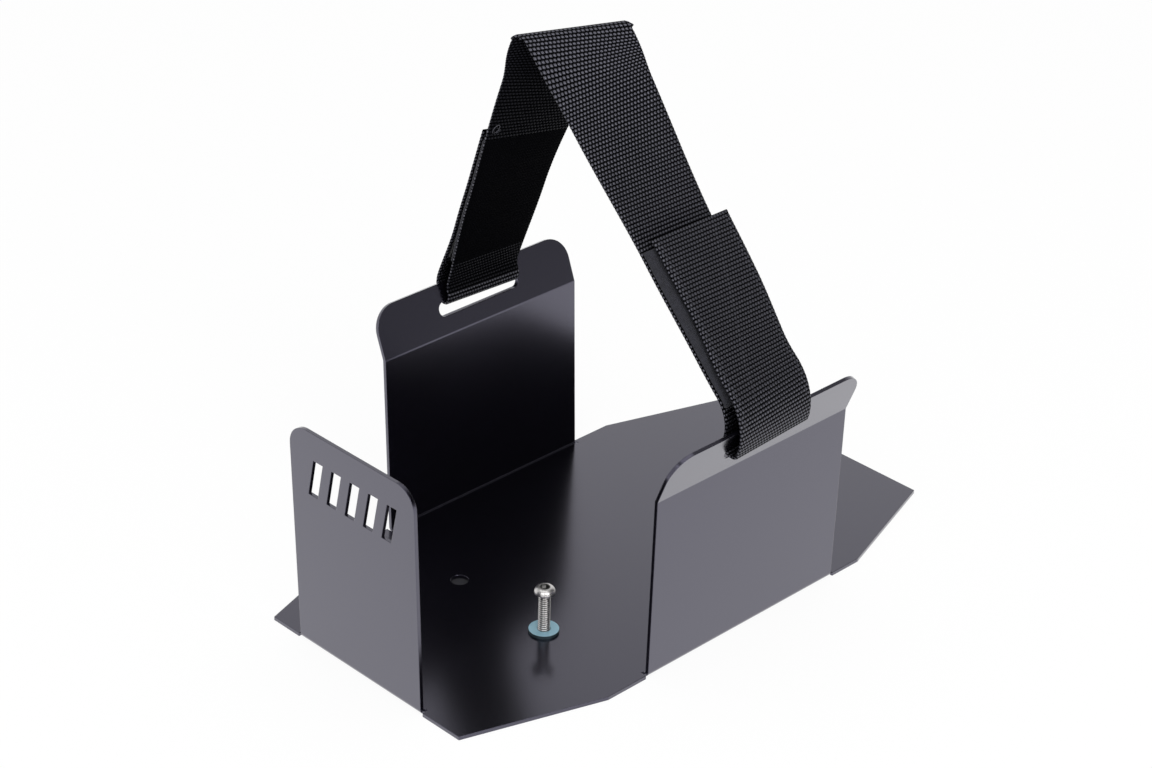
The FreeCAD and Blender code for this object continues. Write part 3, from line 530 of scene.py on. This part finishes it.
def makeRoute():
    # the near bend, the near leg, the fold, the bowed far leg and the far bend, with a short strip at
    # each slot; the near leg's length and the far leg's chord close the route
    turn = math.radians(tray["flangeAngle"])
    near, far = math.radians(strap["lean"]["near"]), math.radians(strap["lean"]["far"])
    bow, fold, strip = math.radians(strap["bow"]), strap["foldRadius"], loops["strip"]
    ends, bends = {}, {}
    for end, side, lean in (("near", -1, near), ("far", 1, far)):
        y, z = slotRoof(end)
        stand, rise = loops["halfWidth"][end], loops["rise"][end]
        begin = (y - side * (stand * math.cos(turn) - rise * math.sin(turn)),
                 z + stand * math.sin(turn) + rise * math.cos(turn))
        bends[end] = strap["bendRadius"][end] * (lean + turn)
        ends[end] = begin, walk(begin, side * turn, [(strip, 0), (bends[end], -side * (lean + turn))])
    ny, nz = ends["near"][1][0][-1], ends["near"][1][1][-1]
    fy, fz = ends["far"][1][0][-1], ends["far"][1][1][-1]
    after = math.pi - far - bow
    chordAngle = math.pi - far - bow / 2
    foldTurn = after - near
    trim = fold * math.tan(foldTurn / 2)
    gapY, gapZ = fy - ny - trim * math.sin(after), fz - nz - trim * math.cos(after)
    cross = math.sin(near) * math.cos(chordAngle) - math.cos(near) * math.sin(chordAngle)
    toApex = (gapY * math.cos(chordAngle) - gapZ * math.sin(chordAngle)) / cross
    chord = (math.sin(near) * gapZ - math.cos(near) * gapY) / cross
    lengths = [strip, bends["near"], toApex - trim, fold * foldTurn, chord * bow / 2 / math.sin(bow / 2),
               bends["far"], strip]
    turns = [0, near + turn, 0, foldTurn, bow, far + turn, 0]
    y, z, angle, run = walk(ends["near"][0], -turn, list(zip(lengths, turns)))
    return {"y": y, "z": z, "angle": angle, "run": run, "top": sum(lengths[:3]) + lengths[3] / 2, "whole": run[-1]}


route = makeRoute()


def drift(run, degrees):
    # the integral of a slant's tangent that eases away over the slant's run
    u = np.clip(run / strap["slantRun"], 0, 1)
    return math.tan(math.radians(degrees)) * strap["slantRun"] * (u - u ** 3 + u ** 4 / 2)


def sideways(run):
    # from the near slot's shift and slant to the far slot's, eased, with a bell-shaped bulge at the top
    whole, reach = route["whole"], strap["slantRun"]
    start = strap["shift"]["near"] - drift(run, strap["slant"]["near"])
    finish = strap["shift"]["far"] - drift(whole - run, strap["slant"]["far"])
    bulge = strap["shift"]["top"] * np.exp(-((run - route["top"]) / strap["topShiftRun"]) ** 2)
    return start + (finish - start) * ease((run - reach) / (whole - 2 * reach)) + bulge


def twistAt(run):
    # eased steps between a few places, in degrees
    whole, top = route["whole"], route["top"]
    knots = [(0, 0), (strap["levelRun"], 0), (strap["tabRun"], strap["tabTwist"]), (top, strap["nearTopTwist"]),
             (top + strap["foldStraight"], strap["farTopTwist"]), (whole - strap["farLowRun"], strap["farLowTwist"]),
             (whole, 0)]
    return sum((after - before) * ease((run - low) / (high - low))
               for (low, before), (high, after) in zip(knots, knots[1:]))


def bandAt(run):
    # centre, width direction and outward direction of the main length; at the top fold the width follows
    # the fold's own line, so it is stretched by one over the sine of its angle to the run, up to a limit,
    # and the fold's corners are tucked in a little
    whole, top = route["whole"], route["top"]
    before, after = np.maximum(run - 0.05, 0), np.minimum(run + 0.05, whole)
    slant = (sideways(after) - sideways(before)) / (after - before)
    angle = np.interp(run, route["run"], route["angle"])
    centre = np.stack([sideways(run), np.interp(run, route["run"], route["y"]),
                       np.interp(run, route["run"], route["z"])], 1)
    along = unit(np.stack([slant, np.sin(angle), np.cos(angle)], 1))
    twist = np.radians(twistAt(run))[:, None]
    above = np.stack([0 * angle, -np.cos(angle), np.sin(angle)], 1)
    level = np.array([[1.0, 0, 0]]) * np.cos(twist) - above * np.sin(twist)
    square = unit(level - along * (level * along).sum(1, keepdims=True))
    yaw, pitch = math.radians(strap["foldYaw"]), math.radians(strap["foldPitch"])
    foldLine = np.array([math.cos(yaw) * math.cos(pitch), math.sin(yaw) * math.cos(pitch), math.sin(pitch)])
    share = ease((strap["foldBlend"] - np.abs(run - top)) / (strap["foldBlend"] - strap["foldStraight"]))[:, None]
    width = unit(square * (1 - share) + foldLine * share)
    stretch = np.minimum(1 / np.sqrt(1 - (width * along).sum(1, keepdims=True) ** 2), strap["foldStretch"])
    tuck = 1 - strap["cornerTuck"] * np.exp(-((run - top) / strap["cornerRun"]) ** 2)[:, None]
    return centre, width * stretch * tuck, unit(np.cross(width, along))


def legAt(end, run):
    return bandAt(run if end == "near" else route["whole"] - run)


def tabSpacing(end, run):
    stack = strap["thickness"] + tabs["loopThickness"] + tabs["hookThickness"] + 3 * tabs["gap"]
    slot = 2 * loops["halfWidth"][end]
    return slot + (stack - slot) * ease(run / tabs["settleRun"])


def slipped(end, centre, width, run):
    return centre + width * (tabs["slip"][end] * ease(run / tabs["slipRun"]))[:, None]


def tabAt(end, run):
    # the folded-back tab's centre, width direction and the direction away from the main length
    centre, width, out = legAt(end, run)
    return slipped(end, centre, width, run) + out * tabSpacing(end, run)[:, None], width, out


def slotTurn(end, steps=40):
    # half an ellipse under the slot's upper edge, from the main length to the tab
    side = -1 if end == "near" else 1
    centre, width, out = (part[0] for part in legAt(end, np.array([0.0])))
    down = unit(np.cross(out, width)) * side
    across, depth = loops["halfWidth"][end], loops["rise"][end] + loops["low"][end]
    angle = (np.arange(1, steps) * math.pi / steps)[:, None]
    place = centre + out * across * (1 - np.cos(angle)) + down * depth * np.sin(angle)
    inside = unit(out * depth * np.cos(angle) - down * across * np.sin(angle))
    return place, np.repeat(width[None], steps - 1, 0), inside


def flatProfile(across, half, columns=15, corner=5):
    # a flat band's outline with round edges: (sideways, thickness) going round it once
    line = np.linspace(-1, 1, columns) * (across - half)
    bend = np.linspace(-math.pi / 2, math.pi / 2, corner + 2)[1:-1]
    x = np.concatenate([line, across - half + half * np.cos(bend),
                        line[::-1], -(across - half) - half * np.cos(bend)])
    h = np.concatenate([np.full(columns, -half), half * np.sin(bend),
                        np.full(columns, half), -half * np.sin(bend)])
    return x, h


def bandMesh(centre, width, out, breadth, low, high, ribPitch=0.0, ribHeight=0.0, scallop=0.0):
    # the flat profile carried along the band; ribs are half waves along the run that lift both faces
    # and push the edges out
    run = np.concatenate([[0], np.cumsum(np.linalg.norm(np.diff(centre, axis=0), axis=1))])
    half = (high - low) / 2
    x, h = flatProfile(breadth / 2, half if np.ndim(half) == 0 else half.max())
    wave = np.abs(np.sin(math.pi * run / ribPitch))[:, None] if ribPitch else np.zeros((len(run), 1))
    spread = x[None, :] + np.sign(x)[None, :] * scallop * (wave - 0.6) * (np.abs(x) > x.max() - 1.2)
    lift = h[None, :] + np.sign(h)[None, :] * ribHeight * (wave - 0.6) * (np.abs(h) > 0.9 * np.abs(h).max())
    middle = (low + high) / 2 if np.ndim(low) == 0 else ((low + high) / 2)[:, None]
    points = (centre[:, None, :] + width[:, None, :] * spread[..., None]
              + out[:, None, :] * (lift + middle)[..., None])
    uv = np.stack([spread, np.repeat(run[:, None], len(x), 1)], -1)
    # the faces turn outward whichever way the band runs
    flip = bool(np.dot(np.cross(width[0], out[0]), centre[1] - centre[0]) < 0)
    faces = tubeFaces(len(run), len(x), flip) + capFaces(len(run), len(x), flip)
    return points.reshape(-1, 3) * mm, faces, uv.reshape(-1, 2), np.repeat(h[None, :], len(run), 0)


def makeWebbingPiece():
    step = strap["step"]
    parts = []
    nearRun = np.arange(tabs["length"]["near"], 0, -step)
    centre, width, out = tabAt("near", nearRun)
    parts.append((centre, width, -out))
    parts.append(tuple(part[::-1] for part in slotTurn("near")))
    mainRun = np.arange(0, route["whole"], step)
    parts.append(bandAt(mainRun))
    parts.append(slotTurn("far"))
    farRun = np.arange(0, tabs["length"]["far"], step)
    centre, width, out = tabAt("far", farRun)
    parts.append((centre, width, -out))
    # the lining covers the main length's inner face opposite each tape
    lining = [np.zeros(len(part[0])) for part in parts]
    fromSlot = {"near": mainRun, "far": route["whole"] - mainRun}
    for end, distance in fromSlot.items():
        limit = tabs["length"][end] - weave["smoothEnd"]
        lining[2] += 0.5 * ((distance > weave["smoothStart"]) & (distance < limit))
    lining[2] += 0.5
    centre, width, out = (np.concatenate(group) for group in zip(*parts))
    half = strap["thickness"] / 2
    points, faces, uv, level = bandMesh(centre, width, out, strap["width"], -half, half, weave["ribPitch"],
                                        weave["ribHeight"], weave["scallop"])
    lined = np.concatenate(lining)[:, None] * (level < -0.5 * half)
    side = np.stack([lined, level], -1).reshape(-1, 2)
    # the distance from each tab's end, and a long way off for the rest
    fromEnd = [np.full(len(part[0]), 1000.0) for part in parts]
    fromEnd[0] = tabs["length"]["near"] - nearRun
    fromEnd[4] = tabs["length"]["far"] - farRun
    down = np.repeat(np.concatenate(fromEnd)[:, None], level.shape[1], 1).reshape(-1)
    layers = {"weave": uv, "side": side, "tab": np.stack([uv[:, 0], down], -1)}
    piece = newPiece("webbing", points, faces, materials["webbing"], layers)
    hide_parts("strap_webbing")


def makeTape(end, kind):
    length = tabs["length"][end]
    run = np.arange(tabs["tapeStart"], length - tabs["tapeInset"], 0.8)
    gap, half = tabs["gap"], strap["thickness"] / 2
    centre, width, out = legAt(end, run)
    if kind == "loop":
        low = np.full(len(run), half + gap)
        high = low + tabs["loopThickness"]
    else:
        centre = slipped(end, centre, width, run)
        high = tabSpacing(end, run) - half - gap
        low = high - tabs["hookThickness"]
    points, faces, uv = bandMesh(centre, width, out, tabs[kind + "Width"], low, high)[:3]
    piece = newPiece("%s_%s_tape_cloth" % (end, kind), points, faces, materials[kind],
                     {"weave": uv})
    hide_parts("%s_%s_tape" % (end, kind))


threads = {
    "loose_loop": {"across": -21.5, "halfWidth": 1.7, "height": 6.0, "lean": 0.5, "radius": 0.2, "turn": 1.0},
    "loose_wisp": {"across": -21.5, "halfWidth": 3.2, "height": 4.2, "lean": -0.9, "radius": 0.13, "turn": 0.42},
}


def makeThreads():
    # loose sewing thread at the far tab's end: a round tube along part of a leaning oval that stands on
    # the main length's inner face, its ends sunk in the cloth
    angle = np.linspace(0, 2 * math.pi, 8, endpoint=False)
    for name, values in threads.items():
        centre, width, out = (part[0] for part in legAt("far", np.array([tabs["length"]["far"] + 2.5])))
        up = unit(np.cross(out, width))
        up = up if up[2] > 0 else -up
        t = np.linspace(0, values["turn"], 60) * 2 * math.pi
        rise = values["height"] / 2 * (1 - np.cos(t))
        across = values["across"] + values["halfWidth"] * np.sin(t) + values["lean"] * rise / values["height"]
        depth = strap["thickness"] / 2 - 0.3 + 1.0 * np.sin(np.minimum(t, 2 * math.pi - t) / 2)
        path = centre + width * across[:, None] + up * rise[:, None] - out * depth[:, None]
        along = unit(np.gradient(path, axis=0))
        first = unit(np.cross(along, np.cross(-out, along)))
        second = np.cross(along, first)
        ring = first[:, None] * np.cos(angle)[:, None] + second[:, None] * np.sin(angle)[:, None]
        points = (path[:, None] + values["radius"] * ring).reshape(-1, 3) * mm
        faces = tubeFaces(len(t), len(angle)) + capFaces(len(t), len(angle))
        newPiece(name, points, faces, materials["thread"])


makeWebbingPiece()
makeThreads()
for end in ("near", "far"):
    for kind in ("loop", "hook"):
        makeTape(end, kind)
print("strap made")


# screw

def closePoles(piece):
    # the rings of no radius become single points
    shape = bmesh.new()
    shape.from_mesh(piece.data)
    bmesh.ops.remove_doubles(shape, verts=shape.verts, dist=1e-7)
    shape.to_mesh(piece.data)
    shape.free()


def makeScrew():
    # rings of radius and height turned about the axis: the thread's radius falls by a rounded notch that
    # climbs one pitch a turn, and the socket's rings follow a hexagon
    angle = np.linspace(0, 2 * math.pi, screw["sides"], endpoint=False)
    low, high = 0.0, screw["length"]
    z = np.linspace(low, high, 230)
    phase = z[:, None] / screw["threadPitch"] - angle[None, :] / (2 * math.pi)
    notch = np.clip(1.35 * np.abs(2 * (phase - np.floor(phase)) - 1) - 0.2, 0, 1)
    fade = ease((high - z) / 1.5)[:, None]
    radius = screw["shankRadius"] - screw["threadDepth"] * notch * fade
    radius = np.minimum(radius, (screw["shankRadius"] - screw["tipChamfer"] + z)[:, None])
    radii = [np.zeros((1, len(angle))), radius]
    heights = [np.zeros((1, len(angle))), np.repeat(z[:, None], len(angle), 1)]
    head = screw["headRadius"] - screw["topRadius"]
    dome = np.linspace(0, math.pi / 2, 12)
    ring = np.concatenate([[screw["headRadius"] - 0.15, screw["headRadius"]],
                           screw["topRadius"] + head * np.cos(dome), [screw["topRadius"] - 0.2]])
    level = np.concatenate([[high, high + 0.15],
                            high + screw["rim"] + (screw["headHeight"] - screw["rim"]) * np.sin(dome),
                            [high + screw["headHeight"]]])
    radii.append(np.repeat(ring[:, None], len(angle), 1))
    heights.append(np.repeat(level[:, None], len(angle), 1))
    part = np.mod(angle + math.pi / 6, math.pi / 3) - math.pi / 6
    hexagon = screw["socketWidth"] / 2 / np.cos(part)
    top = high + screw["headHeight"]
    depths = ((1.05, 0.0), (1.0, 0.12), (1.0, screw["socketDepth"]), (0.0, screw["socketDepth"] + 0.3))
    for scale, depth in depths:
        radii.append(hexagon[None, :] * scale)
        heights.append(np.full((1, len(angle)), top - depth))
    radii, heights = np.concatenate(radii), np.concatenate(heights)
    points = np.stack([screw["x"] + radii * np.cos(angle), screw["y"] + radii * np.sin(angle), heights], -1)
    faces = tubeFaces(len(radii), len(angle))
    piece = newPiece("screw", points.reshape(-1, 3) * mm, faces, materials["stainless"])
    closePoles(piece)
    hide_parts("mounting_screw")


makeScrew()
print("screw made")


# finishes of the kept nodes

for node, material in (("cooler_tray", "powderCoat"), ("flat_washer", "zinc")):
    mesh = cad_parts[node].data
    mesh.materials.clear()
    mesh.materials.append(materials[material])

print("finishes set")
